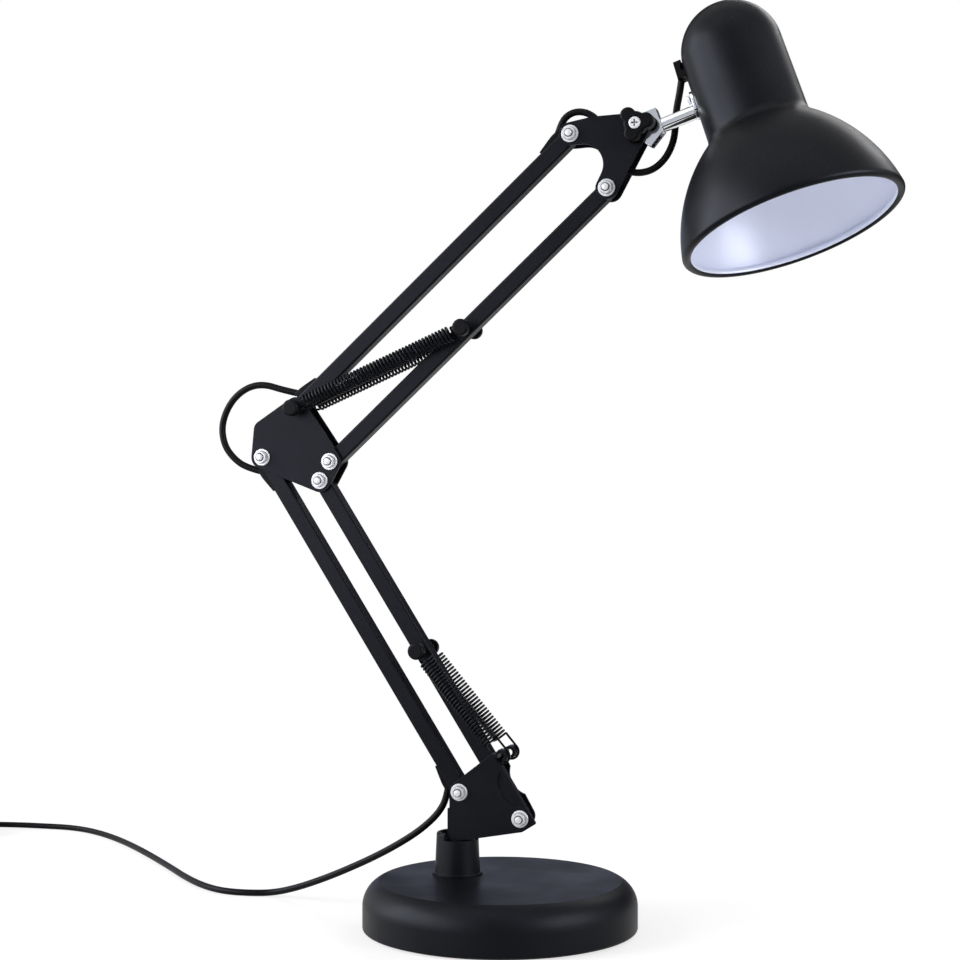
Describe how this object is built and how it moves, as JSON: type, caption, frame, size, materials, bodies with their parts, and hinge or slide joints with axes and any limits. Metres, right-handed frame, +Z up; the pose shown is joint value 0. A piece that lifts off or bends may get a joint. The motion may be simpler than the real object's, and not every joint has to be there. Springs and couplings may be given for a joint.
{
  "type": "desk lamp",
  "caption": "Black swing-arm desk lamp with a round weighted base, sprung parallel arms, a bell shade and a cord.",
  "frame": {"origin": "middle of the base on the table", "axes": "+Z up, +X from the post to the head, arms in a plane parallel to XZ"},
  "size_m": [0.7671, 0.324, 0.5519],
  "materials": {
    "base_paint": "satin",
    "frame_paint": "satin",
    "shade_paint": "satin outside, white inside",
    "iron": "rough",
    "pad": "matt",
    "zinc": "bright zinc",
    "bright_chrome": "polished",
    "spring_steel": "black",
    "black_plastic": "fine grain",
    "nylon": "plain",
    "cord_sheath": "satin",
    "bulb_opal": "opal",
    "cap_metal": "plain",
    "pin_brass": "nickel-plated brass"
  },
  "bodies": {
    "base": {"base_cover": "base_paint", "base_weight": "iron", "base_pad": "pad", "base_socket": "base_paint", "socket_nut": "zinc", "lead_drop_low": "cord_sheath", "lead_run": "cord_sheath", "lead_coil": "cord_sheath", "lead_tail": "cord_sheath", "lead_tie": "black_plastic", "plug": "black_plastic", "plug_pins": "pin_brass"},
    "lower_bracket": {"lower_bracket": "frame_paint", "swivel_spindle": "zinc", "spindle_nut": "zinc", "lower_bracket_fasteners": "zinc", "lower_bracket_bushes": "nylon", "lead_drop_high": "cord_sheath"},
    "lower_rear_arm": {"lower_rear_arm": "frame_paint", "lower_arm_hoods": "black_plastic", "cord_in_lower_arm": "cord_sheath"},
    "lower_front_arm": {"lower_front_arm": "frame_paint", "lower_spring_pin": "black_plastic", "lower_spring_front": "spring_steel", "lower_spring_back": "spring_steel"},
    "elbow": {"elbow_front_plate": "frame_paint", "elbow_back_plate": "frame_paint", "elbow_fasteners": "zinc", "elbow_bushes": "nylon", "elbow_spring_pin": "black_plastic", "cord_elbow_low": "cord_sheath", "cord_elbow_high": "cord_sheath"},
    "upper_rear_arm": {"upper_rear_arm": "frame_paint", "upper_arm_hoods": "black_plastic", "cord_in_upper_arm": "cord_sheath"},
    "upper_front_arm": {"upper_front_arm": "frame_paint", "upper_spring_pin": "black_plastic", "upper_spring_front": "spring_steel", "upper_spring_back": "spring_steel"},
    "head_bracket": {"head_front_plate": "frame_paint", "head_back_plate": "frame_paint", "head_fasteners": "zinc", "head_bushes": "nylon", "knob_nut": "zinc", "friction_discs": "nylon", "cord_head_arc": "cord_sheath", "cord_head_loop_low": "cord_sheath"},
    "knob": {"knob": "black_plastic", "knob_screw": "zinc"},
    "clevis": {"clevis": "bright_chrome", "cord_head_loop_high": "cord_sheath"},
    "shade": {"rod": "bright_chrome", "shade_clip": "bright_chrome", "shade_fasteners": "zinc", "shade": "shade_paint", "lamp_holder": "black_plastic", "holder_ring": "black_plastic", "bulb_glass": "bulb_opal", "bulb_cap": "cap_metal", "cord_grip": "black_plastic"}
  },
  "joints": [
    {"name": "base_swivel", "type": "hinge", "parent": "base", "child": "lower_bracket", "pos_m": [-0.0298, 0.0113, 0.05156], "axis": [0, 0, 1], "range_deg": [-67, 67], "deforming": ["lead_drop_high", "lead_drop_low"]},
    {"name": "lower_arm_swing", "type": "hinge", "parent": "lower_bracket", "child": "lower_rear_arm", "pos_m": [-0.02665, 0.0113, 0.08039], "axis": [0, 1, 0], "range_deg": [-20, 45]},
    {"name": "lower_front_swing", "type": "hinge", "parent": "lower_bracket", "child": "lower_front_arm", "pos_m": [0.01137, 0.0113, 0.06588], "axis": [0, 1, 0], "range_deg": [-20, 45], "deforming": ["lower_spring_front", "lower_spring_back"]},
    {"name": "elbow_level", "type": "hinge", "parent": "lower_rear_arm", "child": "elbow", "pos_m": [-0.15436, 0.0113, 0.28359], "axis": [0, 1, 0], "range_deg": [-45, 20], "deforming": ["cord_elbow_low"]},
    {"name": "upper_arm_swing", "type": "hinge", "parent": "elbow", "child": "upper_rear_arm", "pos_m": [-0.1322, 0.0113, 0.3139], "axis": [0, 1, 0], "range_deg": [-40, 55], "deforming": ["cord_elbow_high"]},
    {"name": "upper_front_swing", "type": "hinge", "parent": "elbow", "child": "upper_front_arm", "pos_m": [-0.10986, 0.0113, 0.28084], "axis": [0, 1, 0], "range_deg": [-40, 55], "deforming": ["upper_spring_front", "upper_spring_back"]},
    {"name": "head_level", "type": "hinge", "parent": "upper_rear_arm", "child": "head_bracket", "pos_m": [0.04206, 0.0113, 0.476], "axis": [0, 1, 0], "range_deg": [-55, 40], "deforming": ["cord_head_arc"]},
    {"name": "head_tilt", "type": "hinge", "parent": "head_bracket", "child": "clevis", "pos_m": [0.08306, 0.0113, 0.47905], "axis": [0, 1, 0], "range_deg": [-60, 25], "deforming": ["cord_head_loop_low"]},
    {"name": "shade_roll", "type": "hinge", "parent": "clevis", "child": "shade", "pos_m": [0.08447, 0.0113, 0.4751], "axis": [0.9415, 0, 0.3371], "range_deg": [-60, 60], "deforming": ["cord_head_loop_high"]},
    {"name": "knob_turn", "type": "hinge", "parent": "head_bracket", "child": "knob", "pos_m": [0.08306, 0.0113, 0.47905], "axis": [0, 1, 0], "range_deg": [-180, 180]}
  ],
  "couplings": [
    {"joint": "lower_front_swing", "follows": "lower_arm_swing", "ratio": 1},
    {"joint": "elbow_level", "follows": "lower_arm_swing", "ratio": -1},
    {"joint": "upper_front_swing", "follows": "upper_arm_swing", "ratio": 1},
    {"joint": "head_level", "follows": "upper_arm_swing", "ratio": -1}
  ]
}
